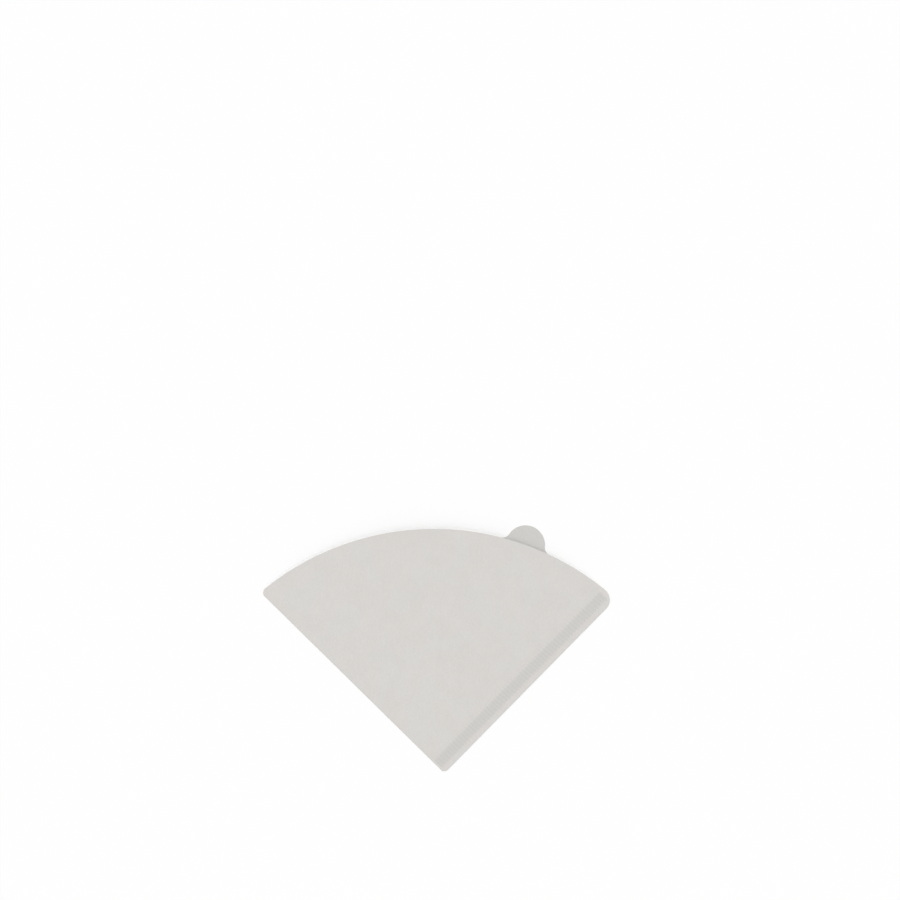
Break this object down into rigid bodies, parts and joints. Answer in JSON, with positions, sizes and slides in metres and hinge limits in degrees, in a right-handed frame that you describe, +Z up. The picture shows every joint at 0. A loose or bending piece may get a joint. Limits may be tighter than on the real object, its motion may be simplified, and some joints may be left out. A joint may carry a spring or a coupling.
{
  "type": "paper coffee filter",
  "caption": "Cone coffee filter folded flat from a sheet of paper, with a crimped seam, an arc-shaped mouth and a round pull tab.",
  "frame": {"origin": "middle of the filter's box, on the plane that its back layer lies on", "axes": "+Z up out of the front layer, +Y from the tip towards the mouth, +X towards the crimped seam"},
  "size_m": [0.1734, 0.1226, 0.0026],
  "materials": {
    "filter_paper": "matte"
  },
  "bodies": {
    "root": {"paper_filter": "filter_paper"}
  },
  "joints": []
}
